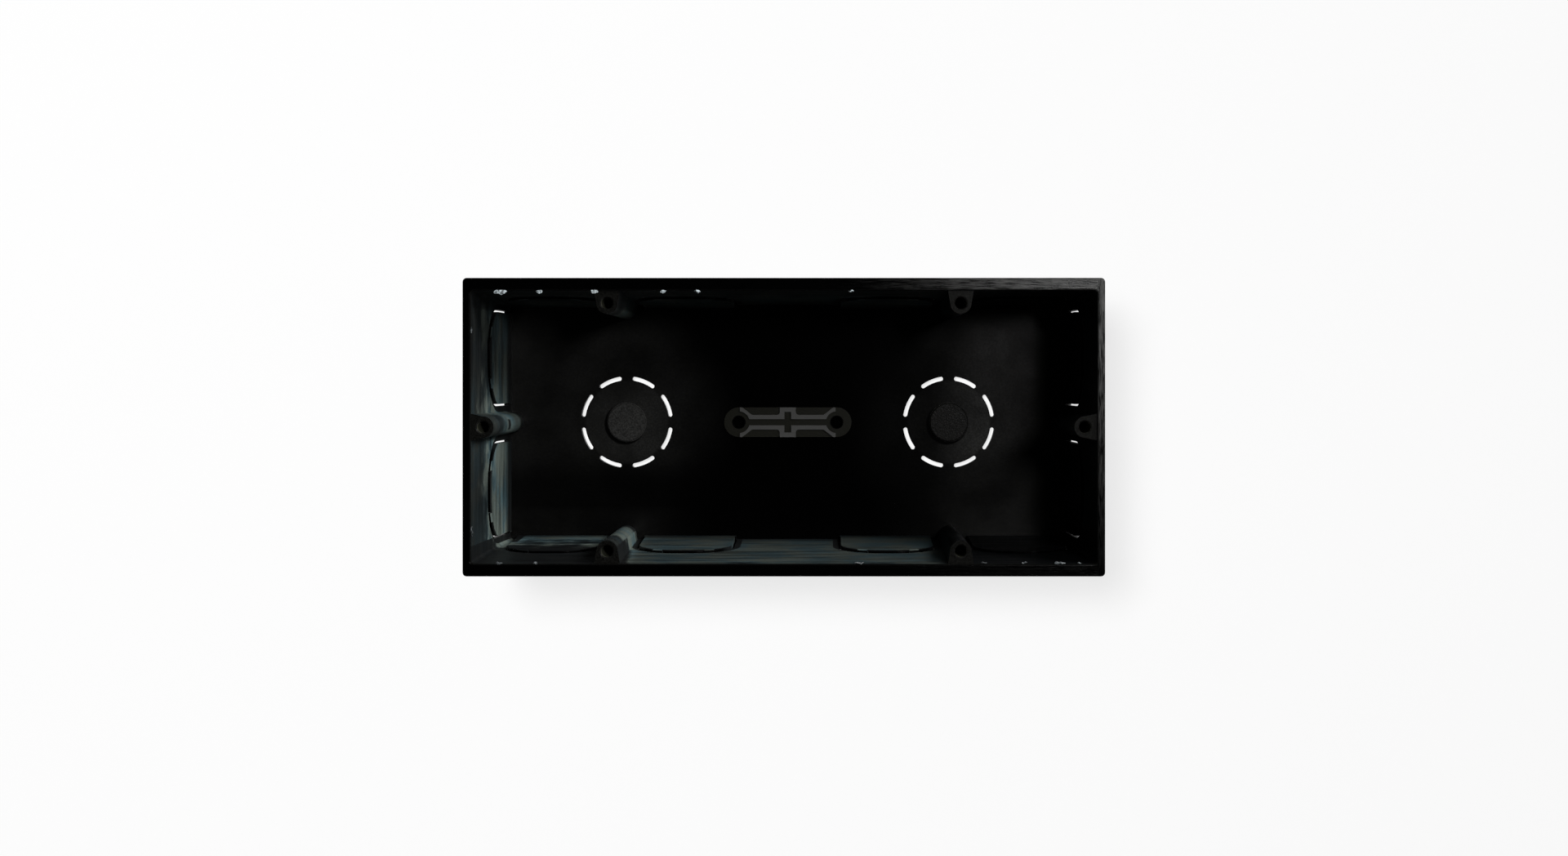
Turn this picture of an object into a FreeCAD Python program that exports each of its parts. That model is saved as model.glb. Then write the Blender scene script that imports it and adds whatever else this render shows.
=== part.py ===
"""Double flush back box, moulded in one piece, lying on its back with the mouth up.

Millimetres. X runs along the box, Y across it, Z from the back to the open rim.
The origin is the centre of the outer back face.
"""
import FreeCAD, Part
import math
import os

Vector = FreeCAD.Vector
ORIGIN = Vector(0, 0, 0)
ACROSS = Vector(1, 0, 0)
UP = Vector(0, 0, 1)

# Box, measured over the open rim; all walls lean in towards the back by the draft angle
LENGTH = 156.0
WIDTH = 72.5
DEPTH = 47.0
SIDE_WALL = 3.0
END_WALL = 1.9
FLOOR = 2.0
DRAFT = 2.6
OUTER_CORNER_R = 1.0
INNER_CORNER_R = 0.9
RIM_EDGE_R = 0.4
BACK_EDGE = 0.6

# Screw lugs for two accessories side by side, their tops a little below the rim
MODULE_PITCH = 86.0
FIXING_CENTRES = 60.3
LUG_R = 2.6
LUG_FOOT_WIDTH = 7.4
LUG_DROP = 0.7
LUG_HOLE_R = 1.45
LUG_HOLE_DEPTH = 32.0
LUG_HOLE_LEAD = 0.3

# Arched conduit knockouts in the walls, in pairs about each line of lugs.
# Half width, corner radius and height run to the middle of the slot; angles are from the crown.
# A knockout stands out from its wall at the crown and the foot, and is thinned from outside by the recess.
ARCH_OFFSET = 17.0
ARCH_R = 12.2
ARCH_CORNER_R = 10.0
ARCH_HEIGHT = 26.3
ARCH_SLOT = 0.6
ARCH_FOOT = 1.6
ARCH_PROUD_CROWN = 0.5
ARCH_PROUD_END_FOOT = 0.2
ARCH_PROUD_SIDE_FOOT = 0.9
ARCH_RECESS = 0.5
ARCH_CROWN_ANGLE = 24.0
ARCH_SHOULDER_ANGLE = 37.0

# Round knockouts in the floor, one behind each accessory.
# The radius runs to the middle of the slots, and the angle is between the centres of a slot's round ends.
ROUND_R = 11.73
ROUND_SLOT = 1.1
ROUND_SLOTS = 8
ROUND_SLOT_ANGLE = 25.5
DISC_R = 5.15
DISC_RISE = 0.8
DISC_EDGE = 0.3

# Wall screw plate in the middle of the floor: a flat pad that carries two rails joined by a bridge.
# The holes stop at a thin skin, which the wall screw pierces.
SCREW_PITCH = 26.1
SCREW_HOLE_R = 1.6
SCREW_SKIN = 0.6
SCREW_SEAT_R = 2.9
PLATE_R = 3.95
PLATE_RISE = 0.6
RIB_RISE = 0.8
RAIL_OUTER = 1.95
GROOVE_WIDTH = 1.65
BRIDGE_LENGTH = 4.25
CROSS_SLOT_LENGTH = 5.5
CROSS_SLOT_WIDTH = 1.8
FLARE_RUN = 3.2
FLARE_TIP = 0.6
RIB_FILLET_R = 0.8

# Length by which a cutting solid passes the face that it cuts
PAST = 1.0

# Distance within which two places count as one
SAME_PLACE = 0.001

LEAN = math.tan(math.radians(DRAFT))
INNER_DEPTH = DEPTH - FLOOR
MOUTH_LENGTH = LENGTH - 2 * END_WALL
MOUTH_WIDTH = WIDTH - 2 * SIDE_WALL
FLOOR_HALF_LENGTH = MOUTH_LENGTH / 2 - INNER_DEPTH * LEAN
FLOOR_HALF_WIDTH = MOUTH_WIDTH / 2 - INNER_DEPTH * LEAN
LUG_TOP = DEPTH - LUG_DROP
SIDE_LUG_Y = FIXING_CENTRES / 2
END_LUG_X = MODULE_PITCH / 2 + SIDE_LUG_Y


def polygon(points):
    """Flat face through the points in order."""
    return Part.Face(Part.makePolygon(points + points[:1]))


def tapered_block(length, width, radius, bottom, top):
    """Block of the given size at its top, leaning in by the draft down to its bottom."""
    shrink = (top - bottom) * LEAN
    high_x = length / 2
    high_y = width / 2
    low_x = high_x - shrink
    low_y = high_y - shrink
    block = Part.makeWedge(-low_x, bottom, -low_y, -high_y, -high_x, low_x, top, low_y, high_y, high_x)
    block.rotate(ORIGIN, ACROSS, 90)
    corners = [edge for edge in block.Edges if edge.BoundBox.ZLength > (top - bottom) / 2]
    return block.makeFillet(radius, corners)


def edges_at(shape, level):
    """Edges of the shape that lie flat at one height."""
    return [edge for edge in shape.Edges if abs(edge.BoundBox.ZMin - level) < SAME_PLACE
            and abs(edge.BoundBox.ZMax - level) < SAME_PLACE]


def upright_edges(shape, places):
    """Upright edges of the shape that stand on the given x, y places."""
    found = []
    for edge in shape.Edges:
        box = edge.BoundBox
        if box.ZLength < RIB_RISE / 2 or box.XLength + box.YLength > SAME_PLACE:
            continue
        if any(math.hypot(box.XMin - x, box.YMin - y) < SAME_PLACE for x, y in places):
            found.append(edge)
    return found


def outer_block():
    """The outside of the box, with its back edge bevelled."""
    block = tapered_block(LENGTH, WIDTH, OUTER_CORNER_R, 0, DEPTH)
    return block.makeChamfer(BACK_EDGE, edges_at(block, 0))


def open_shell(outside):
    """Walls and floor, with the edges of the rim rounded inside and out."""
    past_length = MOUTH_LENGTH + 2 * PAST * LEAN
    past_width = MOUTH_WIDTH + 2 * PAST * LEAN
    hollow = tapered_block(past_length, past_width, INNER_CORNER_R, FLOOR, DEPTH + PAST)
    shell = outside.cut(hollow)
    return shell.makeFillet(RIM_EDGE_R, edges_at(shell, DEPTH))


def lug_places():
    """Place of each lug's hole, the bearing of its wall and how far the wall's outside is."""
    places = []
    for side in (1, -1):
        for module in (-1, 1):
            places.append((module * MODULE_PITCH / 2, side * SIDE_LUG_Y, side * 90, WIDTH / 2 - SIDE_LUG_Y))
        places.append((side * END_LUG_X, 0, 90 - side * 90, LENGTH / 2 - END_LUG_X))
    return places


def lug_column(x, y, bearing, reach):
    """Full height column with a round nose, widening to its foot in the wall."""
    height = LUG_TOP - FLOOR / 2
    foot = LUG_FOOT_WIDTH / 2
    web = [Vector(0, -LUG_R, 0), Vector(0, LUG_R, 0), Vector(reach, foot, 0), Vector(reach, -foot, 0)]
    column = polygon(web).extrude(UP * height).fuse(Part.makeCylinder(LUG_R, height))
    column.rotate(ORIGIN, UP, bearing)
    column.translate(Vector(x, y, FLOOR / 2))
    return column


def lug_hole(x, y):
    """Blind screw hole from the top of a lug, with a countersunk mouth."""
    hole = Part.makeCylinder(LUG_HOLE_R, LUG_HOLE_DEPTH + PAST, Vector(x, y, LUG_TOP - LUG_HOLE_DEPTH))
    lead = LUG_HOLE_LEAD + PAST
    mouth = Part.makeCone(LUG_HOLE_R, LUG_HOLE_R + lead, lead, Vector(x, y, LUG_TOP - LUG_HOLE_LEAD))
    return hole.fuse(mouth)


def arch(grow, foot):
    """Arch face, larger than the middle line of the slot by grow: rounded head, straight legs to the foot."""
    half = ARCH_R + grow
    turn = ARCH_CORNER_R + grow
    top = ARCH_HEIGHT + grow
    spring = top - turn
    flat = half - turn
    corner = turn * math.sqrt(0.5)
    outline = [Part.makeLine(Vector(half, foot, 0), Vector(-half, foot, 0))]
    for side in (-1, 1):
        leg = Vector(side * half, spring, 0)
        bend = Vector(side * (flat + corner), spring + corner, 0)
        shoulder = Vector(side * flat, top, 0)
        outline.append(Part.makeLine(Vector(side * half, foot, 0), leg))
        outline.append(Part.Arc(leg, bend, shoulder).toShape())
    outline.append(Part.makeLine(Vector(-flat, top, 0), Vector(flat, top, 0)))
    return Part.Face(Part.Wire(Part.__sortEdges__(outline)))


def arch_plate(wall, proud_foot):
    """Plate of a wall knockout, sloping from its crown to its foot; its own Z points into the box."""
    back = -(wall - ARCH_RECESS) / 2
    sink = -FLOOR / 2
    rise = (proud_foot - ARCH_PROUD_CROWN) / ARCH_HEIGHT
    profile = [(sink, back), (ARCH_HEIGHT, back), (ARCH_HEIGHT, ARCH_PROUD_CROWN),
               (sink, proud_foot - rise * sink)]
    wedge = polygon([Vector(-ARCH_R, y, z) for y, z in profile]).extrude(ACROSS * 2 * ARCH_R)
    plate = arch(0, sink)
    plate.translate(UP * back)
    return plate.extrude(UP * (wall + ARCH_PROUD_CROWN + proud_foot)).common(wedge)


def arch_recess(wall):
    """Recess behind a wall knockout, open to the back of the box."""
    recess = arch(ARCH_SLOT / 2, -FLOOR - PAST)
    recess.translate(UP * (ARCH_RECESS - wall))
    return recess.extrude(UP * -(ARCH_RECESS + PAST))


def arch_slots(wall):
    """Slots around a wall knockout: one over the crown and one down each leg."""
    band = arch(ARCH_SLOT / 2, ARCH_FOOT).cut(arch(-ARCH_SLOT / 2, ARCH_FOOT - PAST))
    spring = Vector(0, ARCH_HEIGHT - ARCH_R, 0)
    far = ARCH_R + ARCH_SLOT + PAST
    for side in (-1, 1):
        corners = [spring]
        for angle in (ARCH_CROWN_ANGLE, ARCH_SHOULDER_ANGLE):
            turn = math.radians(angle)
            corners.append(spring + Vector(side * math.sin(turn), math.cos(turn), 0) * far)
        band = band.cut(polygon(corners))
    band.translate(UP * -(wall + PAST))
    return band.extrude(UP * 2 * (wall + PAST))


def on_wall(shape, bearing, along, floor_reach):
    """Stand a shape drawn flat on the inner face of a wall, with the wall's own lean."""
    shape.rotate(ORIGIN, ACROSS, 90 - DRAFT)
    shape.translate(Vector(along, floor_reach, FLOOR))
    shape.rotate(ORIGIN, UP, bearing - 90)
    return shape


def arch_places():
    """Where each wall knockout stands, the thickness of its wall and how far its foot stands out.

    A place is the bearing of the wall, the distance along it and its reach at the floor.
    """
    places = []
    for side in (-1, 1):
        for offset in (-ARCH_OFFSET, ARCH_OFFSET):
            end = (90 - side * 90, offset, FLOOR_HALF_LENGTH)
            places.append((end, END_WALL, ARCH_PROUD_END_FOOT))
            for module in (-1, 1):
                flank = (side * 90, module * MODULE_PITCH / 2 + offset, FLOOR_HALF_WIDTH)
                places.append((flank, SIDE_WALL, ARCH_PROUD_SIDE_FOOT))
    return places


def round_slot():
    """One curved slot of a floor knockout, with round ends, centred on the X axis."""
    half = math.radians(ROUND_SLOT_ANGLE / 2)
    inner = ROUND_R - ROUND_SLOT / 2
    outer = ROUND_R + ROUND_SLOT / 2

    def at(radius, angle):
        return Vector(radius * math.cos(angle), radius * math.sin(angle), 0)

    def cap(sign):
        tip = at(ROUND_R, sign * half) + at(ROUND_SLOT / 2, sign * (half + math.pi / 2))
        return Part.Arc(at(inner, sign * half), tip, at(outer, sign * half)).toShape()

    outline = [Part.Arc(at(outer, -half), at(outer, 0), at(outer, half)).toShape(), cap(1),
               Part.Arc(at(inner, half), at(inner, 0), at(inner, -half)).toShape(), cap(-1)]
    slot = Part.Face(Part.Wire(Part.__sortEdges__(outline)))
    slot.translate(UP * -PAST)
    return slot.extrude(UP * (FLOOR + 2 * PAST))


def round_slots(x):
    """Ring of slots around one floor knockout."""
    step = 360 / ROUND_SLOTS
    ring = []
    for index in range(ROUND_SLOTS):
        slot = round_slot()
        slot.rotate(ORIGIN, UP, (index + 0.5) * step)
        slot.translate(Vector(x, 0, 0))
        ring.append(slot)
    return ring


def raised_disc(x):
    """Low round boss in the middle of a floor knockout, struck to break it out."""
    disc = Part.makeCylinder(DISC_R, FLOOR / 2 + DISC_RISE, Vector(x, 0, FLOOR / 2))
    return disc.makeChamfer(DISC_EDGE, edges_at(disc, FLOOR + DISC_RISE))


def screw_base():
    """Flat pad with round ends under the wall screws."""
    height = FLOOR / 2 + PLATE_RISE
    half_pitch = SCREW_PITCH / 2
    bar = Part.makeBox(SCREW_PITCH, 2 * PLATE_R, height, Vector(-half_pitch, -PLATE_R, FLOOR / 2))
    ends = [Part.makeCylinder(PLATE_R, height, Vector(x, 0, FLOOR / 2)) for x in (-half_pitch, half_pitch)]
    return bar.fuse(ends).removeSplitter()


def screw_ribs():
    """Raised rails between the wall screws, flaring round each screw's seat."""
    half_pitch = SCREW_PITCH / 2
    height = PLATE_RISE / 2 + RIB_RISE
    bottom = FLOOR + PLATE_RISE / 2
    flare_start = half_pitch - SCREW_SEAT_R - FLARE_TIP
    flare_end = flare_start + FLARE_RUN
    flare_shoulder = flare_end - FLARE_TIP
    outline = [Vector(BRIDGE_LENGTH / 2, RAIL_OUTER, bottom), Vector(flare_start, RAIL_OUTER, bottom),
               Vector(flare_shoulder, PLATE_R, bottom), Vector(flare_end, PLATE_R, bottom)]
    bridge = [Vector(0, PLATE_R, bottom), Vector(BRIDGE_LENGTH / 2, PLATE_R, bottom)]
    quarter = bridge + outline
    right = quarter + [Vector(p.x, -p.y, p.z) for p in reversed(quarter)]
    left = [Vector(-p.x, p.y, p.z) for p in reversed(right[1:-1])]
    ribs = polygon(right + left).extrude(UP * height)
    inner_corners = [(sx * x, sy * RAIL_OUTER) for x in (BRIDGE_LENGTH / 2, flare_start)
                     for sx in (-1, 1) for sy in (-1, 1)]
    ribs = ribs.makeFillet(RIB_FILLET_R, upright_edges(ribs, inner_corners))
    depth = height + PAST
    groove = Part.makeBox(SCREW_PITCH, GROOVE_WIDTH, depth, Vector(-half_pitch, -GROOVE_WIDTH / 2, bottom))
    cross = Part.makeBox(CROSS_SLOT_WIDTH, CROSS_SLOT_LENGTH, depth,
                         Vector(-CROSS_SLOT_WIDTH / 2, -CROSS_SLOT_LENGTH / 2, bottom))
    seats = [Part.makeCylinder(SCREW_SEAT_R, depth, Vector(side * half_pitch, 0, bottom)) for side in (-1, 1)]
    return ribs.cut([groove, cross] + seats)


def screw_holes():
    """Holes for the wall screws, down to the skin at the back."""
    depth = FLOOR + PLATE_RISE + PAST - SCREW_SKIN
    bottoms = [Vector(side * SCREW_PITCH / 2, 0, SCREW_SKIN) for side in (-1, 1)]
    return [Part.makeCylinder(SCREW_HOLE_R, depth, bottom) for bottom in bottoms]


def back_box():
    """The whole moulding as one solid."""
    outside = outer_block()
    modules = (-MODULE_PITCH / 2, MODULE_PITCH / 2)
    columns = [lug_column(*place).common(outside) for place in lug_places()]
    plates = [on_wall(arch_plate(wall, proud_foot), *place) for place, wall, proud_foot in arch_places()]
    discs = [raised_disc(x) for x in modules]
    body = open_shell(outside).fuse(columns + plates + discs + [screw_base(), screw_ribs()])

    cuts = [lug_hole(x, y) for x, y, bearing, reach in lug_places()]
    for place, wall, proud_foot in arch_places():
        cuts.append(on_wall(arch_recess(wall), *place))
        cuts.append(on_wall(arch_slots(wall), *place))
    for x in modules:
        cuts += round_slots(x)
    return body.cut(cuts + screw_holes()).removeSplitter()


os.makedirs("parts", exist_ok=True)
box = back_box()
box.exportStep("parts/back_box.step")
print("back_box: solids %d, volume %.0f mm3, valid %s" % (len(box.Solids), box.Volume, box.isValid()))
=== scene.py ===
"""Double flush back box moulded in black plastic, lying on its back on a pale sheet.

Metres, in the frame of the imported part: X along the box, Y across it, Z out of its mouth.
"""
import bpy
import math
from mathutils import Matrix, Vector


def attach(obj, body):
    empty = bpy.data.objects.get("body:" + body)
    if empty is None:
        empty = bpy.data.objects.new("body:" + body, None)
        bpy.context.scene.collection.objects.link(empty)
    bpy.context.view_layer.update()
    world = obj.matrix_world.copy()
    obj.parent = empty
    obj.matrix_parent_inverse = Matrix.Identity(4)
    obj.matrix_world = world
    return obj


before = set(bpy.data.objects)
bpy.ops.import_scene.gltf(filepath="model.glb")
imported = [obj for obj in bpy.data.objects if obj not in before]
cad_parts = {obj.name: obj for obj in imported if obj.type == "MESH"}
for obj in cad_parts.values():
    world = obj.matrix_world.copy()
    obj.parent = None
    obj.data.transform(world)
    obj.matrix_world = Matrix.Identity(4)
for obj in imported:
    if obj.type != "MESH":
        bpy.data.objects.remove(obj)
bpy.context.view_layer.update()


# Housing.
# One injection moulding in black polypropylene: walls, floor, screw lugs and knockouts together.
# The core is polished on the floor, satin round the knockouts and coarse on the screw plate; the
# satin is partly painted sheen. The walls carry a grey in long level streaks, partly bloom and
# partly painted light, shaped by painted shade, and the rim is scuffed at its upper right, where
# its paler colour is also a painted highlight.
MM = 0.001
# Places and sizes below are in mm. A span in braces has, at 1 and 2, from where to where a value
# goes in, and at 3 and 4, from what to what it comes out.
WALL_LEAN = math.tan(math.radians(2.6))
MOUTH_LEVEL = 47.0
HALF_LENGTH = 78.0
HALF_WIDTH = 36.25
BACK_HALF_LENGTH = HALF_LENGTH - MOUTH_LEVEL * WALL_LEAN
BACK_HALF_WIDTH = HALF_WIDTH - MOUTH_LEVEL * WALL_LEAN
END_WALL = 1.9
SIDE_WALL = 3.0
BACK_EDGE = 0.4
SKIN_MARGIN = 0.5
STEEP = {1: 0.75, 2: 0.35}
# Floor: the discs of the knockouts, the satin ground round them, which is partly painted sheen,
# the painted shade and light that shape it, and the painted shadow at the foot of each disc.
FLOOR_BAND = {1: 6.0, 2: 5.0}
KNOCKOUT_CENTRE = 43.0
KNOCKOUT_R = 11.5
DISC_R = 5.3
SATIN_NEAR = {1: 32.0, 2: KNOCKOUT_R, 4: 0.55}
SATIN_WITHIN = {1: KNOCKOUT_R, 2: KNOCKOUT_R - 1.0, 4: 0.45}
SATIN_OUTER = {1: 20.0, 2: 42.0, 4: 0.55}
LEFT_PAINTED_SHADE = {1: -5.0, 2: -17.0, 3: 1.0, 4: 0.2}
LOWER_FLOOR_PAINTED_LIGHT = {1: -20.0, 2: -25.0, 4: 0.45}
RIGHT_SHEEN_SPAN = {1: 37.0, 2: 52.0, 3: 0.35, 4: 1.0}
# Painted shadow at the foot of each disc.
DISC_SHADOW_SHIFT = 0.5
DISC_SHADOW_EDGE = {1: DISC_R + 0.4, 2: DISC_R, 3: 1.0, 4: 0.1}
CLOUDY_SATIN = {1: 0.25, 2: 0.75, 3: 0.4, 4: 1.0}
# Screw plate, its rails and its screw holes.
PAD_HALF_LENGTH = 17.4
PAD_HALF_WIDTH = 4.3
PAD_LEVEL = 2.3
RAIL_LEVEL = 3.2
SCREW_OFFSET = 13.05
SCREW_HOLE_R = 1.8
# Screw lugs, and the rim with the part of it that is scuffed, where its paler colour is also a
# painted highlight.
LUG_X = 43.0
LUG_Y = 30.15
END_LUG_X = 73.15
LUG_HOLE_R = 1.5
LUG_TOP_LEVEL = 46.0
RIM_EDGE = {1: 46.7, 2: MOUTH_LEVEL - 0.1}
SCUFF_AND_SHEEN_ALONG = {1: 14.0, 2: 66.0}
SCUFF_AND_SHEEN_ACROSS = {1: -44.0, 2: 28.0}
# Arched knockouts: painted shade darkens the wall beside their slots, and painted light brightens
# the bridges between.
ARCH_OFFSET = 17.0
ARCH_HALF_WIDTH = 12.2
ARCH_HEIGHT = 26.3
ARCH_CORNER_R = 10.0
END_ARCH_REACH = 6.0
SLOT_BAND = 0.9
SLOT_PAINTED_SHADE = {3: 1.0, 4: 0.03}
BRIDGE_OFFSET = 6.6
BRIDGE_REACH = 1.2
BRIDGE_PAINTED_LIGHT = {3: 1.0, 4: 1.7}
# Grey on the walls, partly bloom and partly painted light: painted shade towards the mouth and at
# the foot, and the painted light and shade that each wall has.
LOWER_WALL_Y = -29.0
UPPER_WALL_Y = 29.0
STREAKED_BLOOM = {1: 0.3, 2: 0.7, 3: 0.3, 4: 1.0}
MOUTH_PAINTED_SHADE = {1: 36.0, 2: 22.0, 3: 0.12, 4: 1.0}
MOUTH_SHADE_WANDER = {1: 0.3, 2: 0.7, 3: -9.0, 4: 9.0}
FOOT_PAINTED_SHADE = {1: 5.0, 2: 10.0, 3: 0.06, 4: 1.0}
RIGHT_PAINTED_SHADE = {1: 42.0, 2: 34.0}
UPPER_WALL_PAINTED_SHADE = {3: 1.0, 4: 0.3}
LOWER_SHADE_RISE = {1: -42.0, 2: -36.0, 3: 13.0, 4: -22.0}
LOWER_WALL_PAINTED_LIGHT = {1: -42.0, 2: -36.0, 3: 1.55, 4: 0.48}
LOWER_FOOT_PAINTED_SHADE = {1: 2.0, 2: 9.0, 3: 0.2, 4: 1.0}
LOWER_FALL = 2.0
END_LUG_REACH = 9.0
END_MIDDLE_PAINTED_LIGHT = {1: 4.0, 2: 14.0, 3: 1.6, 4: 1.0}
END_CORNER_PAINTED_LIGHT = {1: 24.0, 2: 30.0, 3: 1.0, 4: 1.35}
END_TOP_PAINTED_SHADE = {1: 4.0, 2: 18.0, 3: 1.0, 4: 0.4}
BLUE_PATCHES = {1: 0.4, 2: 0.6}
# Patterns: size in mm, detail and roughness. Spark erosion is some 0.03 mm fine and a scratch some
# 0.05 mm wide, so the grit and the scratches are drawn coarser.
CLOUDS = ((16.0, 16.0, 16.0), 3.0, 0.5)
PATCHES = ((11.0, 11.0, 7.0), 3.0, 0.6)
STREAKS = ((26.0, 26.0, 2.2), 4.0, 0.6)
GRIT = ((0.45, 0.45, 0.45), 2.0, 0.7)
END_SCRATCHES = ((0.35, 4.0, 4.0), 3.0, 0.7)
SIDE_SCRATCHES = ((4.0, 0.35, 4.0), 3.0, 0.7)
GRAIN = {1: 0.35, 2: 0.7}
SPECKLE = {3: 0.75, 4: 1.2}
MOTTLE = {1: 0.35, 2: 0.7}
SCRATCHED = {1: 0.4, 2: 0.7}
# Colours. Sand is the grain of the discs; its left copies are painted lighter, as painted light.
OUTSIDE_BLACK = "#08090a"
OUTSIDE_MOTTLE = "#111314"
FLOOR_BLACK = "#010101"
# Satin colours, lighter than the polished black, partly as painted sheen.
FLOOR_SATIN_SHEEN = "#20201f"
FLOOR_SATIN_SHEEN_LEFT = "#212120"
WALL_DARK = "#050607"
# Grey of the walls, partly bloom and partly painted light.
WALL_BLOOM_AND_LIGHT = "#5f6862"
WALL_BLOOM_AND_LIGHT_BLUE = "#4a6065"
SAND_DARK = "#0d0d0c"
SAND_LIGHT = "#1b1b1a"
SAND_LEFT_PAINTED_LIT_DARK = "#1e1e1d"
SAND_LEFT_PAINTED_LIT_LIGHT = "#3a3a39"
PAD_OLIVE = "#1b1b17"
RAIL_GREY = "#484847"
LUG_BLACK = "#060605"
LUG_GREY = "#131312"
# Painted light inside the lug bores.
BORE_PAINTED_LIGHT = "#33342b"
RIM_BLACK = "#010101"
RIM_SCUFF_AND_SHEEN = "#424241"
# Roughness, shine and relief.
FLOOR_ROUGH = {3: 0.15, 4: 0.3}
LUG_ROUGH = 0.22
WALL_ROUGH = {1: 0.3, 2: 0.7, 3: 0.42, 4: 0.55}
COARSE_ROUGH = 0.28
OUTSIDE_ROUGH = {1: 0.3, 2: 0.7, 3: 0.38, 4: 0.5}
RIM_ROUGH = {1: 0.35, 2: 0.7, 3: 0.12, 4: 0.2}
WORN_ROUGH = {1: 0.4, 2: 0.7, 3: 0.16, 4: 0.3}
FLOOR_SHINE = {3: 0.033, 4: 0.083}
WALL_SHINE = {3: 0.06, 4: 0.35}
COARSE_SHINE = 0.035
LUG_SHINE = 0.04
SCREW_SHINE = 0.017
OUTSIDE_SHINE = 0.3
RIM_SHINE = 0.02
WORN_SHINE = 0.09
PLASTIC_IOR = 1.49
GRIT_HEIGHT = {3: 0.2, 4: 1.0}
GRIT_DEPTH = 0.06
GRIT_STRENGTH = 0.8


def linear(colour):
    """Linear RGBA of an sRGB hex colour."""
    parts = [int(colour[start:start + 2], 16) / 255 for start in (1, 3, 5)]
    return [part / 12.92 if part <= 0.04045 else ((part + 0.055) / 1.055) ** 2.4
            for part in parts] + [1.0]


def add(tree, kind, inputs=(), give=None, **settings):
    """Add a node, set or link its inputs by name or number, and give back it or an output."""
    node = tree.nodes.new(kind)
    for name, value in settings.items():
        setattr(node, name, value)
    for key, value in dict(inputs).items():
        if isinstance(value, bpy.types.NodeSocket):
            tree.links.new(value, node.inputs[key])
        else:
            node.inputs[key].default_value = value
    return node if give is None else node.outputs[give]


def new_material(name):
    """Material with an empty node tree."""
    material = bpy.data.materials.new(name)
    material.use_nodes = True
    material.node_tree.nodes.clear()
    return material


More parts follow.
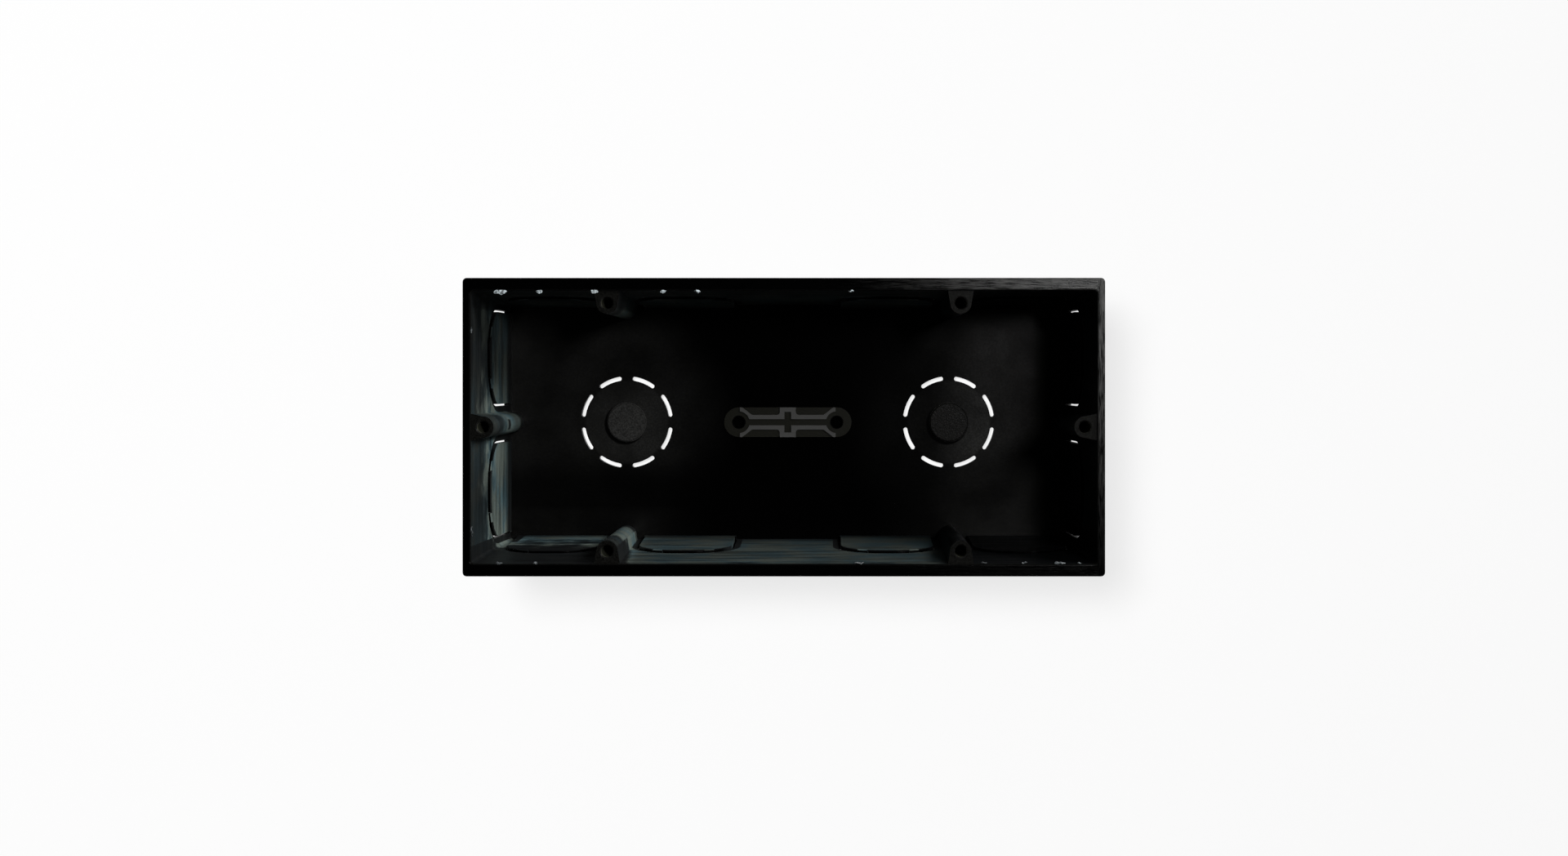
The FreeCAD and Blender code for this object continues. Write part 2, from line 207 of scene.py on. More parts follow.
def black_polypropylene():
    """Moulded polypropylene, which gives the eye a deep and faintly waxy black.

    Polished steel leaves it smooth and dark on the floor, dull steel satin, and spark eroded steel
    sandy; the satin and the left disc are also painted lighter, as painted sheen and light. Bloom
    and painted light turn the walls a soft grey, shaped by painted shade, and scuffing draws pale
    lines on the rim, whose paler upper right is also a painted highlight.
    """
    material = new_material("black_polypropylene_moulded")
    tree = material.node_tree
    sums = "ShaderNodeMath"
    span = "ShaderNodeMapRange"
    mix = "ShaderNodeMix"
    smooth = {"interpolation_type": "SMOOTHSTEP"}

    # Where a place is on the moulding, in mm, and whether it is on a steep face.
    place = add(tree, "ShaderNodeTexCoord", give="Object")
    spot = add(tree, "ShaderNodeMapping", {"Vector": place, "Scale": [1 / MM] * 3}, "Vector")
    x, y, z = add(tree, "ShaderNodeSeparateXYZ", {0: spot}).outputs
    folded = add(tree, "ShaderNodeVectorMath", {0: spot}, "Vector", operation="ABSOLUTE")
    along, across, _ = add(tree, "ShaderNodeSeparateXYZ", {0: folded}).outputs
    normal = add(tree, "ShaderNodeNewGeometry", give="Normal")
    up = add(tree, "ShaderNodeSeparateXYZ", {0: normal}, 2)
    tilt = add(tree, sums, {0: up}, 0, operation="ABSOLUTE")
    steep = add(tree, span, {0: tilt, **STEEP}, 0, **smooth)

    # Inside of the box: further in from the leaning outer faces than the walls are thick, less a
    # margin. All else is the outside and the back.
    half_length = {0: z, 1: 0.0, 2: MOUTH_LEVEL, 3: BACK_HALF_LENGTH, 4: HALF_LENGTH}
    half_length = add(tree, span, half_length, 0)
    half_width = {0: z, 1: 0.0, 2: MOUTH_LEVEL, 3: BACK_HALF_WIDTH, 4: HALF_WIDTH}
    half_width = add(tree, span, half_width, 0)
    end_depth = add(tree, sums, {0: half_length, 1: along}, 0, operation="SUBTRACT")
    side_depth = add(tree, sums, {0: half_width, 1: across}, 0, operation="SUBTRACT")
    past_end = {0: end_depth, 1: END_WALL - SKIN_MARGIN}
    past_end = add(tree, sums, past_end, 0, operation="GREATER_THAN")
    past_side = {0: side_depth, 1: SIDE_WALL - SKIN_MARGIN}
    past_side = add(tree, sums, past_side, 0, operation="GREATER_THAN")
    past_back = add(tree, sums, {0: z, 1: BACK_EDGE}, 0, operation="GREATER_THAN")
    past_walls = add(tree, sums, {0: past_end, 1: past_side}, 0, operation="MULTIPLY")
    inside = add(tree, sums, {0: past_walls, 1: past_back}, 0, operation="MULTIPLY")
    outward = add(tree, sums, {0: 1.0, 1: inside}, 0, operation="SUBTRACT")

    # Knockout discs and the satin ground round them, partly painted sheen. On the left it is
    # painted darker towards the lower side as painted shade, and lighter again near the lower wall
    # as painted light. On the right the painted sheen is strongest at the outer side of the ring.
    low = add(tree, span, {0: z, **FLOOR_BAND}, 0)
    from_centre = add(tree, sums, {0: along, 1: KNOCKOUT_CENTRE}, 0, operation="SUBTRACT")
    offset = add(tree, "ShaderNodeCombineXYZ", {0: from_centre, 1: y}, 0)
    ring_reach = add(tree, "ShaderNodeVectorMath", {0: offset}, "Value", operation="LENGTH")
    near = add(tree, span, {0: ring_reach, **SATIN_NEAR}, 0, **smooth)
    within = add(tree, span, {0: ring_reach, **SATIN_WITHIN}, 0, **smooth)
    outer = add(tree, span, {0: along, **SATIN_OUTER}, 0, **smooth)
    near = add(tree, sums, {0: near, 1: outer}, 0, operation="MAXIMUM")
    on_left = add(tree, sums, {0: x, 1: 0.0}, 0, operation="LESS_THAN")
    left_light_and_shade = add(tree, span, {0: y, **LEFT_PAINTED_SHADE}, 0, **smooth)
    lower_floor_light = add(tree, span, {0: y, **LOWER_FLOOR_PAINTED_LIGHT}, 0, **smooth)
    left_light_and_shade = add(tree, sums, {0: left_light_and_shade, 1: lower_floor_light}, 0, operation="MAXIMUM")
    right_sheen = add(tree, span, {0: x, **RIGHT_SHEEN_SPAN}, 0, **smooth)
    near_share = add(tree, mix, {0: on_left, 2: right_sheen, 3: left_light_and_shade}, 0)
    within_share = add(tree, mix, {0: on_left, 2: right_sheen, 3: 1.0}, 0)
    near = add(tree, sums, {0: near, 1: near_share}, 0, operation="MULTIPLY")
    within = add(tree, sums, {0: within, 1: within_share}, 0, operation="MULTIPLY")
    ground = add(tree, sums, {0: near, 1: within}, 0, operation="ADD")
    on_disc = add(tree, sums, {0: ring_reach, 1: DISC_R}, 0, operation="LESS_THAN")
    disc = add(tree, sums, {0: on_disc, 1: low}, 0, operation="MULTIPLY")
    disc = add(tree, sums, {0: disc, 1: inside}, 0, operation="MULTIPLY")

    # Painted shadow at the foot of each disc, widest at its lower left, where the floor is also
    # left smoother.
    mirrored = add(tree, sums, {0: from_centre, 1: -1.0}, 0, operation="MULTIPLY")
    sideways = add(tree, mix, {0: on_left, 2: from_centre, 3: mirrored}, 0)
    sideways = add(tree, sums, {0: sideways, 1: DISC_SHADOW_SHIFT}, 0, operation="ADD")
    upward = add(tree, sums, {0: y, 1: DISC_SHADOW_SHIFT}, 0, operation="ADD")
    disc_shadow = add(tree, "ShaderNodeCombineXYZ", {0: sideways, 1: upward}, 0)
    disc_shadow = add(tree, "ShaderNodeVectorMath", {0: disc_shadow}, "Value", operation="LENGTH")
    disc_shadow = add(tree, span, {0: disc_shadow, **DISC_SHADOW_EDGE}, 0, **smooth)

    # Screw plate and the rails on it.
    in_length = add(tree, sums, {0: along, 1: PAD_HALF_LENGTH}, 0, operation="LESS_THAN")
    in_width = add(tree, sums, {0: across, 1: PAD_HALF_WIDTH}, 0, operation="LESS_THAN")
    above_floor = add(tree, sums, {0: z, 1: PAD_LEVEL}, 0, operation="GREATER_THAN")
    above_pad = add(tree, sums, {0: z, 1: RAIL_LEVEL}, 0, operation="GREATER_THAN")
    in_plate = add(tree, sums, {0: in_length, 1: in_width}, 0, operation="MULTIPLY")
    in_plate = add(tree, sums, {0: in_plate, 1: low}, 0, operation="MULTIPLY")
    pad = add(tree, sums, {0: in_plate, 1: above_floor}, 0, operation="MULTIPLY")
    rail = add(tree, sums, {0: in_plate, 1: above_pad}, 0, operation="MULTIPLY")
    coarse = add(tree, sums, {0: disc, 1: pad}, 0, operation="MAXIMUM")

    # Screw holes in the plate.
    from_screw = add(tree, sums, {0: along, 1: SCREW_OFFSET}, 0, operation="SUBTRACT")
    screw_place = add(tree, "ShaderNodeCombineXYZ", {0: from_screw, 1: y}, 0)
    screw_reach = {0: screw_place}
    screw_reach = add(tree, "ShaderNodeVectorMath", screw_reach, "Value", operation="LENGTH")
    near_screw = add(tree, sums, {0: screw_reach, 1: SCREW_HOLE_R}, 0, operation="LESS_THAN")
    screw = add(tree, sums, {0: near_screw, 1: low}, 0, operation="MULTIPLY")

    # Slots of the arched knockouts and the bridges between them, from how far a place is from the
    # outline of the arch.
    side_turn = add(tree, sums, {0: from_centre}, 0, operation="ABSOLUTE")
    side_run = add(tree, sums, {0: side_turn, 1: ARCH_OFFSET}, 0, operation="SUBTRACT")
    end_run = add(tree, sums, {0: across, 1: ARCH_OFFSET}, 0, operation="SUBTRACT")
    on_end = add(tree, sums, {0: end_depth, 1: END_ARCH_REACH}, 0, operation="LESS_THAN")
    run = add(tree, mix, {0: on_end, 2: side_run, 3: end_run}, 0)
    run = add(tree, sums, {0: run}, 0, operation="ABSOLUTE")
    past_x = {0: run, 1: ARCH_HALF_WIDTH - ARCH_CORNER_R}
    past_x = add(tree, sums, past_x, 0, operation="SUBTRACT")
    past_x = add(tree, sums, {0: past_x, 1: 0.0}, 0, operation="MAXIMUM")
    past_z = {0: z, 1: ARCH_HEIGHT - ARCH_CORNER_R}
    past_z = add(tree, sums, past_z, 0, operation="SUBTRACT")
    past_z = add(tree, sums, {0: past_z, 1: 0.0}, 0, operation="MAXIMUM")
    corner = add(tree, "ShaderNodeCombineXYZ", {0: past_x, 1: past_z}, 0)
    arch_reach = add(tree, "ShaderNodeVectorMath", {0: corner}, "Value", operation="LENGTH")
    edge = {0: arch_reach, 1: ARCH_CORNER_R + SLOT_BAND, 2: SLOT_BAND}
    edge = add(tree, sums, edge, 0, operation="COMPARE")
    bridge = add(tree, sums, {0: run, 1: BRIDGE_OFFSET, 2: BRIDGE_REACH}, 0, operation="COMPARE")
    slot = add(tree, sums, {0: edge, 1: bridge}, 0, operation="GREATER_THAN")
    over_bridge = add(tree, sums, {0: edge, 1: bridge}, 0, operation="MULTIPLY")

    # Tops of the screw lugs, and their bores: near the axis of a side lug or of an end lug. The
    # bores are painted a lighter olive, as painted light on their walls.
    side_x = add(tree, sums, {0: along, 1: LUG_X}, 0, operation="SUBTRACT")
    side_y = add(tree, sums, {0: across, 1: LUG_Y}, 0, operation="SUBTRACT")
    side_reach = add(tree, "ShaderNodeCombineXYZ", {0: side_x, 1: side_y}, 0)
    side_reach = add(tree, "ShaderNodeVectorMath", {0: side_reach}, "Value", operation="LENGTH")
    end_x = add(tree, sums, {0: along, 1: END_LUG_X}, 0, operation="SUBTRACT")
    end_reach = add(tree, "ShaderNodeCombineXYZ", {0: end_x, 1: y}, 0)
    end_reach = add(tree, "ShaderNodeVectorMath", {0: end_reach}, "Value", operation="LENGTH")
    lug_reach = add(tree, sums, {0: side_reach, 1: end_reach}, 0, operation="MINIMUM")
    in_hole = add(tree, sums, {0: lug_reach, 1: LUG_HOLE_R}, 0, operation="LESS_THAN")
    lug_top = add(tree, sums, {0: z, 1: LUG_TOP_LEVEL}, 0, operation="GREATER_THAN")
    hole = add(tree, sums, {0: in_hole, 1: lug_top}, 0, operation="GREATER_THAN")

    # Rim, and the part of it that is scuffed, whose paler colour is also a painted highlight.
    rim = add(tree, span, {0: z, **RIM_EDGE}, 0)
    scuff_along = add(tree, span, {0: x, **SCUFF_AND_SHEEN_ALONG}, 0, **smooth)
    scuff_across = add(tree, span, {0: y, **SCUFF_AND_SHEEN_ACROSS}, 0, **smooth)
    scuffed_and_sheen = add(tree, sums, {0: scuff_along, 1: scuff_across}, 0, operation="MULTIPLY")
    scuffed_and_sheen = add(tree, sums, {0: scuffed_and_sheen, 1: rim}, 0, operation="MULTIPLY")

    # Patterns. The scratches run along the sides of the rim, and along its ends.
    patterns = []
    for size, detail, rough in (CLOUDS, PATCHES, STREAKS, GRIT, END_SCRATCHES, SIDE_SCRATCHES):
        spread = {"Vector": spot, "Scale": [1 / length for length in size]}
        spread = add(tree, "ShaderNodeMapping", spread, 0)
        noise = {"Vector": spread, "Scale": 1.0, "Detail": detail, "Roughness": rough}
        patterns.append(add(tree, "ShaderNodeTexNoise", noise, 0))
    clouds, patches, streaks, grit, end_scratches, side_scratches = patterns
    at_end = add(tree, sums, {0: end_depth, 1: END_WALL}, 0, operation="LESS_THAN")
    scratches = add(tree, mix, {0: at_end, 2: side_scratches, 3: end_scratches}, 0)
    grain = add(tree, span, {0: grit, **GRAIN}, 0)
    speckle = add(tree, span, {0: grain, **SPECKLE}, 0)

    # Bloom and painted light: the painted shade where the grey begins and ends on a wall, then the
    # painted shade and light that thin or thicken it.
    streaked = add(tree, span, {0: streaks, **STREAKED_BLOOM}, 0, **smooth)
    # Painted shade towards the mouth, along a wandering line; on the lower wall it is stronger,
    # reaches deeper at the left end and hardly reaches elsewhere.
    wander = add(tree, span, {0: patches, **MOUTH_SHADE_WANDER}, 0)
    lower_wall = add(tree, sums, {0: y, 1: LOWER_WALL_Y}, 0, operation="LESS_THAN")
    rise = add(tree, span, {0: x, **LOWER_SHADE_RISE}, 0, **smooth)
    rise = add(tree, sums, {0: rise, 1: lower_wall}, 0, operation="MULTIPLY")
    level = add(tree, sums, {0: z, 1: wander}, 0, operation="ADD")
    level = add(tree, sums, {0: level, 1: rise}, 0, operation="ADD")
    deep = add(tree, span, {0: level, **MOUTH_PAINTED_SHADE}, 0, **smooth)
    # Painted shade at the foot of the walls, where they meet the floor.
    clear = add(tree, span, {0: z, **FOOT_PAINTED_SHADE}, 0, **smooth)
    lower_foot_shade = add(tree, span, {0: z, **LOWER_FOOT_PAINTED_SHADE}, 0, **smooth)
    clear = add(tree, mix, {0: lower_wall, 2: clear, 3: lower_foot_shade}, 0)
    lower_mouth_shade = add(tree, sums, {0: deep, 1: LOWER_FALL}, 0, operation="POWER")
    deep = add(tree, mix, {0: lower_wall, 2: deep, 3: lower_mouth_shade}, 0)
    # Painted light on the end walls at their middle and corners, and painted shade on their upper
    # half.
    middle = add(tree, span, {0: across, **END_MIDDLE_PAINTED_LIGHT}, 0, **smooth)
    outmost = add(tree, span, {0: across, **END_CORNER_PAINTED_LIGHT}, 0)
    topmost = add(tree, span, {0: y, **END_TOP_PAINTED_SHADE}, 0, **smooth)
    end_light_and_shade = add(tree, sums, {0: middle, 1: outmost}, 0, operation="MULTIPLY")
    end_light_and_shade = add(tree, sums, {0: end_light_and_shade, 1: topmost}, 0, operation="MULTIPLY")
    by_end = add(tree, sums, {0: end_depth, 1: END_LUG_REACH}, 0, operation="LESS_THAN")
    end_light_and_shade = add(tree, mix, {0: by_end, 2: 1.0, 3: end_light_and_shade}, 0)
    # Painted shade: the grey fades out towards the right of the box.
    right_shade = add(tree, span, {0: x, **RIGHT_PAINTED_SHADE}, 0, **smooth)
    # Painted shade beside the slots, and painted light on the bridges between them.
    slot_shade = add(tree, span, {0: slot, **SLOT_PAINTED_SHADE}, 0)
    bridge_light = add(tree, span, {0: over_bridge, **BRIDGE_PAINTED_LIGHT}, 0)
    # Painted light on the lower wall: strong at its left end, weaker along the rest.
    lower_wall_light = add(tree, span, {0: x, **LOWER_WALL_PAINTED_LIGHT}, 0, **smooth)
    lower_light = add(tree, mix, {0: lower_wall, 2: 1.0, 3: lower_wall_light}, 0)
    # Painted shade on the upper wall.
    upper_wall = add(tree, sums, {0: y, 1: UPPER_WALL_Y}, 0, operation="GREATER_THAN")
    upper_shade = add(tree, span, {0: upper_wall, **UPPER_WALL_PAINTED_SHADE}, 0)
    bloom_and_light = streaked
    for share in (clear, deep, right_shade, speckle, slot_shade, bridge_light, lower_light, upper_shade,
                  end_light_and_shade):
        bloom_and_light = add(tree, sums, {0: bloom_and_light, 1: share}, 0, operation="MULTIPLY")

    # Satin of the floor, partly real finish and partly painted sheen.
    cloudy = add(tree, span, {0: clouds, **CLOUDY_SATIN}, 0, **smooth)
    satin = ground
    for share in (cloudy, low, speckle, disc_shadow):
        satin = add(tree, sums, {0: satin, 1: share}, 0, operation="MULTIPLY")

    # Colours, from the floor and walls to the small parts, the outside and the rim.
    tinted = add(tree, span, {0: patches, **BLUE_PATCHES}, 0, **smooth)
    tint = {0: tinted, 6: linear(WALL_BLOOM_AND_LIGHT), 7: linear(WALL_BLOOM_AND_LIGHT_BLUE)}
    tint = add(tree, mix, tint, 2, data_type="RGBA")
    walls = {0: bloom_and_light, 6: linear(WALL_DARK), 7: tint}
    walls = add(tree, mix, walls, 2, data_type="RGBA")
    # Satin colour, partly painted sheen.
    dull = {0: on_left, 6: linear(FLOOR_SATIN_SHEEN), 7: linear(FLOOR_SATIN_SHEEN_LEFT)}
    dull = add(tree, mix, dull, 2, data_type="RGBA")
    floor = {0: satin, 6: linear(FLOOR_BLACK), 7: dull}
    floor = add(tree, mix, floor, 2, data_type="RGBA")
    # The left disc is painted lighter, as painted light.
    sand_dark = {0: on_left, 6: linear(SAND_DARK), 7: linear(SAND_LEFT_PAINTED_LIT_DARK)}
    sand_dark = add(tree, mix, sand_dark, 2, data_type="RGBA")
    sand_light = {0: on_left, 6: linear(SAND_LIGHT), 7: linear(SAND_LEFT_PAINTED_LIT_LIGHT)}
    sand_light = add(tree, mix, sand_light, 2, data_type="RGBA")
    sand = {0: grain, 6: sand_dark, 7: sand_light}
    sand = add(tree, mix, sand, 2, data_type="RGBA")
    lug_paint = {0: grain, 6: linear(LUG_BLACK), 7: linear(LUG_GREY)}
    lug_paint = add(tree, mix, lug_paint, 2, data_type="RGBA")
    mottle = add(tree, span, {0: clouds, **MOTTLE}, 0)
    outside = {0: mottle, 6: linear(OUTSIDE_BLACK), 7: linear(OUTSIDE_MOTTLE)}
    outside = add(tree, mix, outside, 2, data_type="RGBA")
    scratched = add(tree, span, {0: scratches, **SCRATCHED}, 0)
    worn_and_sheen = {0: scratched, 6: linear(RIM_BLACK), 7: linear(RIM_SCUFF_AND_SHEEN)}
    worn_and_sheen = add(tree, mix, worn_and_sheen, 2, data_type="RGBA")
    colour = add(tree, mix, {0: steep, 6: floor, 7: walls}, 2, data_type="RGBA")
    for mask, paint in ((lug_top, lug_paint), (disc, sand), (pad, linear(PAD_OLIVE)),
                        (rail, linear(RAIL_GREY)), (screw, linear(FLOOR_BLACK)),
                        (hole, linear(BORE_PAINTED_LIGHT)), (outward, outside),
                        (rim, linear(RIM_BLACK)), (scuffed_and_sheen, worn_and_sheen)):
        colour = add(tree, mix, {0: mask, 6: colour, 7: paint}, 2, data_type="RGBA")

    # Roughness, in the same order.
    gloss = add(tree, span, {0: satin, **FLOOR_ROUGH}, 0)
    wall_rough = add(tree, span, {0: streaks, **WALL_ROUGH}, 0)
    rim_rough = add(tree, span, {0: scratches, **RIM_ROUGH}, 0)
    worn_rough = add(tree, span, {0: scratches, **WORN_ROUGH}, 0)
    outside_rough = add(tree, span, {0: clouds, **OUTSIDE_ROUGH}, 0)
    for mask, amount in ((lug_top, LUG_ROUGH), (steep, wall_rough), (coarse, COARSE_ROUGH),
                         (outward, outside_rough), (rim, rim_rough), (scuffed_and_sheen, worn_rough)):
        gloss = add(tree, mix, {0: mask, 2: gloss, 3: amount}, 0)

    # Shine: the polished floor and the rim give back little, satin and scuffed parts more, and the
    # outside most.
    shine = add(tree, span, {0: satin, **FLOOR_SHINE}, 0)
    # The walls also shine less under the painted shade on the right.
    wall_shine = add(tree, span, {0: right_shade, **WALL_SHINE}, 0)
    for mask, amount in ((steep, wall_shine), (coarse, COARSE_SHINE), (lug_top, LUG_SHINE),
                         (screw, SCREW_SHINE), (outward, OUTSIDE_SHINE), (rim, RIM_SHINE),
                         (scuffed_and_sheen, WORN_SHINE)):
        shine = add(tree, mix, {0: mask, 2: shine, 3: amount}, 0)

    # Relief: grit that is deep on the coarse parts and faint elsewhere, and scratches on the rim.
    grit_height = add(tree, span, {0: coarse, **GRIT_HEIGHT}, 0)
    relief = add(tree, sums, {0: grit, 1: grit_height}, 0, operation="MULTIPLY")
    relief = add(tree, mix, {0: rim, 2: relief, 3: scratches}, 0)
    bump = {"Height": relief, "Strength": GRIT_STRENGTH, "Distance": GRIT_DEPTH * MM}
    bump = add(tree, "ShaderNodeBump", bump, 0)
    plastic = {"Base Color": colour, "Roughness": gloss, "IOR": PLASTIC_IOR,
               "Specular IOR Level": shine, "Normal": bump}
    plastic = add(tree, "ShaderNodeBsdfPrincipled", plastic, 0)
    add(tree, "ShaderNodeOutputMaterial", {"Surface": plastic})
    return material


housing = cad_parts["back_box"]
housing_plastic = black_polypropylene()
housing.data.materials.clear()
housing.data.materials.append(housing_plastic)


# Flecks of flash round the mouth.
# Where the core meets the cavity, the moulding keeps torn specks of flash along the inner edge of
# its rim. The tearing turns black polypropylene pale, and the pale colour is also a painted glint;
# specks away from the top edge are dimmed as painted shade. Each has its place, length and width
# in mm.
FLECKS_TOP = ((-68.9, 2.9, 1.2), (-59.3, 1.8, 0.8), (-46.0, 1.6, 1.1), (-29.2, 1.4, 0.9),
              (-20.9, 1.5, 0.7), (16.3, 1.6, 0.3))
FLECKS_BOTTOM = ((-68.9, 1.5, 0.4), (-60.3, 1.0, 0.3), (18.3, 2.3, 0.35), (48.4, 1.3, 0.3),
                 (58.2, 1.0, 0.35), (67.0, 2.6, 0.45), (71.7, 1.2, 0.3))
FLECKS_LEFT = ((23.6, 1.7, 0.4), (-25.3, 2.4, 0.4))
FLECK_HEIGHT = 0.4
FLECK_LEVEL = 46.68
FLECK_OVERHANG = 0.3
FLECK_ROUNDING = 3
FLECK_TEAR = (1.5, 1.3, 0.1)
FLECK_TEAR_SIZE = 0.6
FLECK_TEAR_DETAIL = 1.0
NOISE_MIDDLE = (0.5, 0.5, 0.5)
FLECK_PATCH = 0.7
FLECK_PATCH_DETAIL = 2.0
FLECK_PATCHES = {1: 0.35, 2: 0.6}
FLECK_PAINTED_SHADE = 0.12
FLECK_SHADED_Y = 28.0
FLECK_UNSHADED_Y = 32.0
FLECK_PALE_GLINT = "#bcc7cb"
FLECK_BLACK = "#1c2022"
FLECK_ROUGH = 0.4


def torn_flash_and_glint():
    """Torn polypropylene, which gives the eye pale, dry specks with some black left in them; the
    pale is also a painted glint, and specks away from the top edge are dimmed as painted shade.
    """
    material = new_material("torn_flash_painted_glint")
    tree = material.node_tree
    span = "ShaderNodeMapRange"
    place = add(tree, "ShaderNodeTexCoord", give="Object")
    noise = {"Vector": place, "Scale": 1 / (FLECK_PATCH * MM), "Detail": FLECK_PATCH_DETAIL}
    patches = add(tree, "ShaderNodeTexNoise", noise, 0)
    across = add(tree, "ShaderNodeSeparateXYZ", {0: place}, 1)
    # Painted shade: specks away from the top edge are dimmed.
    share = {0: across, 1: FLECK_SHADED_Y * MM, 2: FLECK_UNSHADED_Y * MM, 3: FLECK_PAINTED_SHADE, 4: 1.0}
    share = add(tree, span, share, 0)
    amount = add(tree, span, {0: patches, **FLECK_PATCHES}, 0)
    amount = add(tree, "ShaderNodeMath", {0: amount, 1: share}, 0, operation="MULTIPLY")
    paint = {0: amount, 6: linear(FLECK_BLACK), 7: linear(FLECK_PALE_GLINT)}
    paint = add(tree, "ShaderNodeMix", paint, 2, data_type="RGBA")
    plastic = {"Base Color": paint, "Roughness": FLECK_ROUGH, "IOR": PLASTIC_IOR}
    plastic = add(tree, "ShaderNodeBsdfPrincipled", plastic, 0)
    add(tree, "ShaderNodeOutputMaterial", {"Surface": plastic})
    return material


def fleck_tree(flash):
    """Node tree that sets a torn fleck on each place, with the identifiers of its inputs."""
    tree = bpy.data.node_groups.new("flecks_along_mouth", "GeometryNodeTree")
    face = tree.interface
    face.new_socket("Places", in_out="INPUT", socket_type="NodeSocketGeometry")
    keys = {}
    for name, kind in (("Height", "NodeSocketFloat"), ("Tear", "NodeSocketVector"),
                       ("Tear Scale", "NodeSocketFloat")):
        keys[name] = face.new_socket(name, in_out="INPUT", socket_type=kind).identifier
    face.new_socket("Flecks", in_out="OUTPUT", socket_type="NodeSocketGeometry")
    given = add(tree, "NodeGroupInput").outputs
    stored = "GeometryNodeInputNamedAttribute"
    length, width, turn = [add(tree, stored, {"Name": name}, "Attribute", data_type="FLOAT")
                           for name in ("length", "width", "turn")]
    size = add(tree, "ShaderNodeCombineXYZ", {0: length, 1: width, 2: given["Height"]}, 0)
    heading = add(tree, "ShaderNodeCombineXYZ", {2: turn}, 0)
    lump = {"Radius": 0.5, "Subdivisions": FLECK_ROUNDING}
    lump = add(tree, "GeometryNodeMeshIcoSphere", lump, 0)
    strewn = {"Points": given["Places"], "Instance": lump, "Rotation": heading, "Scale": size}
    strewn = add(tree, "GeometryNodeInstanceOnPoints", strewn, 0)
    real = add(tree, "GeometryNodeRealizeInstances", {0: strewn}, 0)
    noise = {"Scale": given["Tear Scale"], "Detail": FLECK_TEAR_DETAIL}
    noise = add(tree, "ShaderNodeTexNoise", noise, "Color")
    pull = add(tree, "ShaderNodeVectorMath", {0: noise, 1: NOISE_MIDDLE}, 0, operation="SUBTRACT")
    shift = {0: pull, 1: given["Tear"]}
    shift = add(tree, "ShaderNodeVectorMath", shift, 0, operation="MULTIPLY")
    torn = add(tree, "GeometryNodeSetPosition", {"Geometry": real, "Offset": shift}, 0)
    dressed = add(tree, "GeometryNodeSetMaterial", {"Geometry": torn, "Material": flash}, 0)
    add(tree, "NodeGroupOutput", {0: dressed})
    return tree, keys


def mouth_flecks():
    """Flecks along the inner edge of the mouth, as one mesh."""
    half_x = HALF_LENGTH - END_WALL - FLECK_OVERHANG
    half_y = HALF_WIDTH - SIDE_WALL - FLECK_OVERHANG
    rows = [(along, half_y, length, width, 0.0) for along, length, width in FLECKS_TOP]
    rows += [(along, -half_y, length, width, 0.0) for along, length, width in FLECKS_BOTTOM]
    rows += [(-half_x, across, length, width, math.pi / 2)
             for across, length, width in FLECKS_LEFT]
    places = bpy.data.meshes.new("mouth_edge")
    places.from_pydata([(x * MM, y * MM, FLECK_LEVEL * MM) for x, y, *_ in rows], [], [])
    for name, values in (("length", [row[2] * MM for row in rows]),
                         ("width", [row[3] * MM for row in rows]),
                         ("turn", [row[4] for row in rows])):
        places.attributes.new(name, "FLOAT", "POINT").data.foreach_set("value", values)
    carrier = bpy.data.objects.new("mouth_edge", places)
    bpy.context.scene.collection.objects.link(carrier)
    tree, keys = fleck_tree(torn_flash_and_glint())
    strewing = carrier.modifiers.new("flecks", "NODES")
    strewing.node_group = tree
    strewing[keys["Height"]] = FLECK_HEIGHT * MM
    strewing[keys["Tear"]] = [reach * MM for reach in FLECK_TEAR]
    strewing[keys["Tear Scale"]] = 1 / (FLECK_TEAR_SIZE * MM)
    whole = carrier.evaluated_get(bpy.context.evaluated_depsgraph_get())
    mesh = bpy.data.meshes.new_from_object(whole)
    bpy.data.objects.remove(carrier)
    piece = bpy.data.objects.new("mouth_flecks", mesh)
    bpy.context.scene.collection.objects.link(piece)
    return piece


flecks = mouth_flecks()
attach(flecks, "root")


# Sheet under the box, and the wall round it.
# Plain white paper: it looks white to the camera, and the sheet keeps the soft shadow of the box.
# From below the sheet can't be seen. Both are only the stage, in metres.
SHEET_HALF = 3.0
SHEET_GAP = 0.0001
SHEET_CORNERS = ((-1, -1), (1, -1), (1, 1), (-1, 1))
SHEET_GLOW = 0.775
SHEET_SHADE = "#808080"
SHEET_WHITE = "#e8e8e8"
SURROUND_RADIUS = 2.8
SURROUND_HEIGHT = 2.2
SURROUND_SIDES = 96
SURROUND_GLOW = 1.0
SURROUND_SHADE = "#000000"


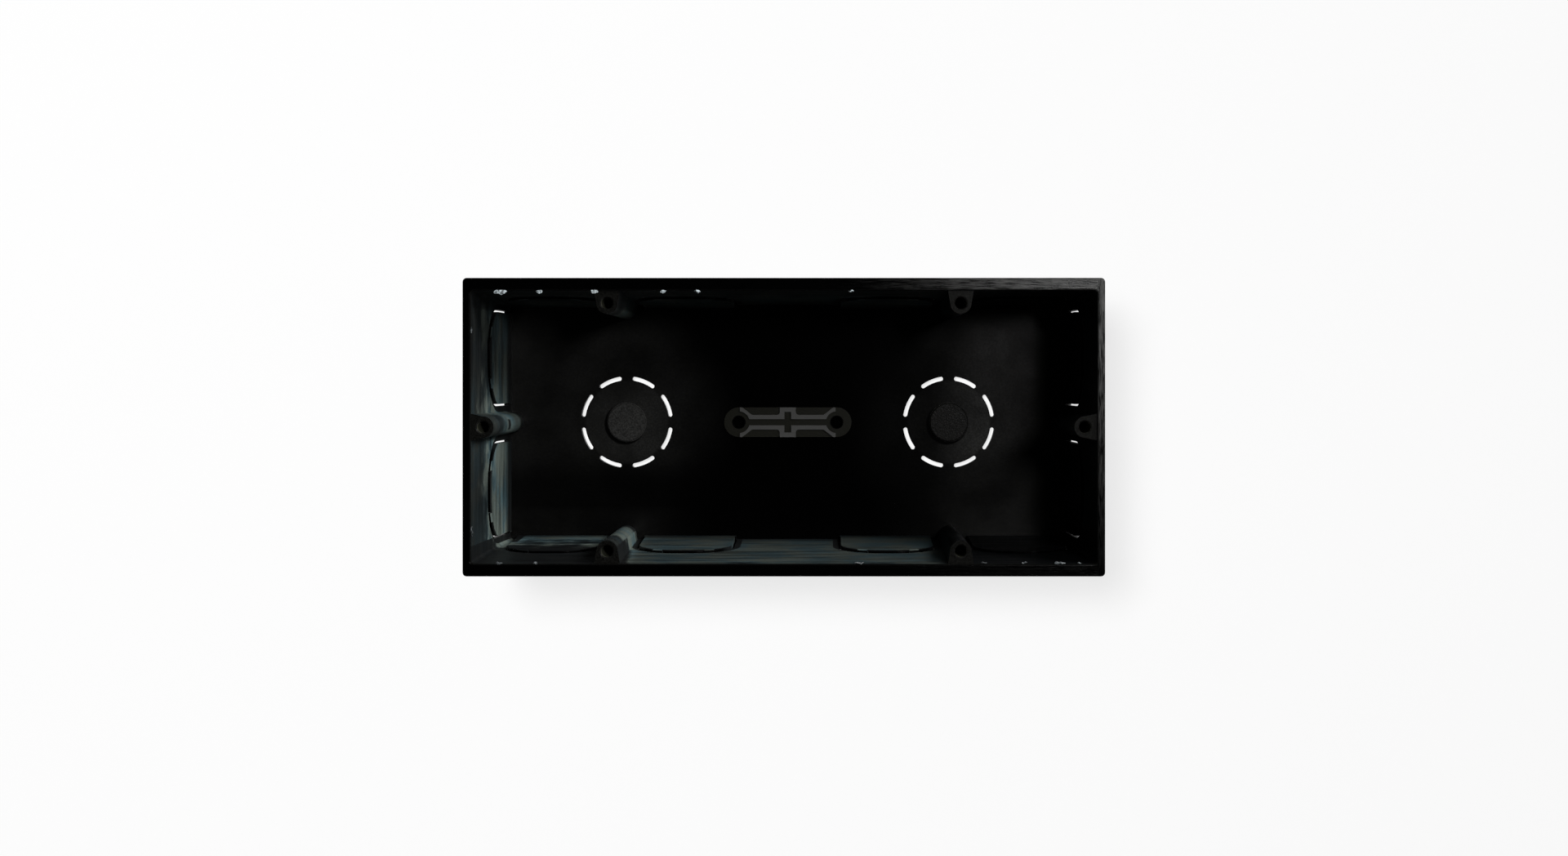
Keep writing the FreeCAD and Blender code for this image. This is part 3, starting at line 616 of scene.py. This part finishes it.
def paper(name, glow_strength, shade_colour):
    """Matt white paper, which gives the eye an even white less the shadow that falls on it.

    It is pale and glows a little to camera, glossy and transmission rays. Light that bounces off
    it meets the shade colour.
    """
    material = new_material(name)
    tree = material.node_tree
    sums = "ShaderNodeMath"
    path = add(tree, "ShaderNodeLightPath").outputs
    seen = {0: path["Is Camera Ray"], 1: path["Is Glossy Ray"]}
    seen = add(tree, sums, seen, 0, operation="MAXIMUM")
    seen = {0: seen, 1: path["Is Transmission Ray"]}
    seen = add(tree, sums, seen, 0, operation="MAXIMUM")
    paint = {0: seen, 6: linear(SHEET_WHITE), 7: linear(shade_colour)}
    paint = add(tree, "ShaderNodeMix", paint, 2, data_type="RGBA")
    shade = add(tree, "ShaderNodeBsdfDiffuse", {"Color": paint}, 0)
    strength = add(tree, sums, {0: seen, 1: glow_strength}, 0, operation="MULTIPLY")
    glow = add(tree, "ShaderNodeEmission", {"Strength": strength}, 0)
    lit = add(tree, "ShaderNodeAddShader", {0: shade, 1: glow}, 0)
    behind = add(tree, "ShaderNodeNewGeometry", give="Backfacing")
    clear = add(tree, "ShaderNodeBsdfTransparent", give=0)
    front = add(tree, "ShaderNodeMixShader", {0: behind, 1: lit, 2: clear}, 0)
    add(tree, "ShaderNodeOutputMaterial", {"Surface": front})
    return material


def stage_piece(name, points, faces, material):
    """Piece of the paper stage, from its points and faces."""
    mesh = bpy.data.meshes.new(name)
    mesh.from_pydata(points, [], faces)
    mesh.materials.append(material)
    piece = bpy.data.objects.new(name, mesh)
    bpy.context.scene.collection.objects.link(piece)
    return piece


sheet_points = [(sx * SHEET_HALF, sy * SHEET_HALF, -SHEET_GAP) for sx, sy in SHEET_CORNERS]
sheet_paper = paper("white_paper_sheet", SHEET_GLOW, SHEET_SHADE)
sheet = stage_piece("paper_sheet", sheet_points, [(0, 1, 2, 3)], sheet_paper)
turns = [2 * math.pi * index / SURROUND_SIDES for index in range(SURROUND_SIDES)]
surround_points = [(SURROUND_RADIUS * math.cos(turn), SURROUND_RADIUS * math.sin(turn), height)
                   for height in (-SURROUND_HEIGHT, SURROUND_HEIGHT) for turn in turns]
surround_faces = []
for index in range(SURROUND_SIDES):
    beside = (index + 1) % SURROUND_SIDES
    surround_faces.append((index, index + SURROUND_SIDES, beside + SURROUND_SIDES, beside))
surround_paper = paper("white_paper_wall", SURROUND_GLOW, SURROUND_SHADE)
stage_piece("paper_wall", surround_points, surround_faces, surround_paper)


# Camera.
# It looks straight down into the mouth, a little to the upper right of the middle, and its lens is
# shifted. Places are in metres and the sensor in mm.
FRAME_WIDTH = 1920
SENSOR = 36.0
FOCAL_PIXELS = 2222.0
CAMERA_PLACE = (0.01054, 0.01327, 0.487)
SHIFT = (-0.0276, -0.0354)
CLIP_START = 0.01

lens = bpy.data.cameras.new("overhead_camera")
lens.sensor_fit = "HORIZONTAL"
lens.sensor_width = SENSOR
lens.lens = FOCAL_PIXELS / FRAME_WIDTH * SENSOR
lens.shift_x, lens.shift_y = SHIFT
lens.clip_start = CLIP_START
camera = bpy.data.objects.new("overhead_camera", lens)
camera.location = CAMERA_PLACE
bpy.context.scene.collection.objects.link(camera)
bpy.context.scene.camera = camera


# Light.
# A soft box at the upper right reaches the left and lower walls, a small high one lights the floor
# and puts the sheen on the rim, and a third lays the soft shadow on the paper.
WORLD_WHITE = "#ffffff"
WORLD_STRENGTH = 0.03


def soft_box(name, direction, distance, size, irradiance, only):
    """Square soft box turned to the origin; irradiance is what a face turned to it receives."""
    lamp = bpy.data.lights.new(name, "AREA")
    lamp.shape = "SQUARE"
    lamp.size = size
    lamp.energy = irradiance * math.pi * distance ** 2
    box = bpy.data.objects.new(name, lamp)
    aim = Vector(direction).normalized()
    box.location = aim * distance
    box.rotation_euler = aim.to_track_quat("Z", "Y").to_euler()
    bpy.context.scene.collection.objects.link(box)
    lit = bpy.data.collections.new(name + "_lights")
    for piece in only:
        lit.objects.link(piece)
    box.light_linking.receiver_collection = lit


soft_box("side_soft_box", direction=(0.745, 0.497, 0.447), distance=0.9, size=0.25,
         irradiance=3.4, only=[housing, flecks])
soft_box("high_soft_box", direction=(0.30, 0.20, 0.93), distance=1.0, size=0.15,
         irradiance=1.8, only=[housing, flecks])
soft_box("shadow_soft_box", direction=(-0.22, 0.2, 1.0), distance=1.3, size=0.35,
         irradiance=3.0, only=[sheet])

world = bpy.data.worlds.new("plain_grey")
world.use_nodes = True
background = world.node_tree.nodes["Background"].inputs
background["Color"].default_value = linear(WORLD_WHITE)
background["Strength"].default_value = WORLD_STRENGTH
bpy.context.scene.world = world
bpy.context.scene.view_settings.view_transform = "Standard"
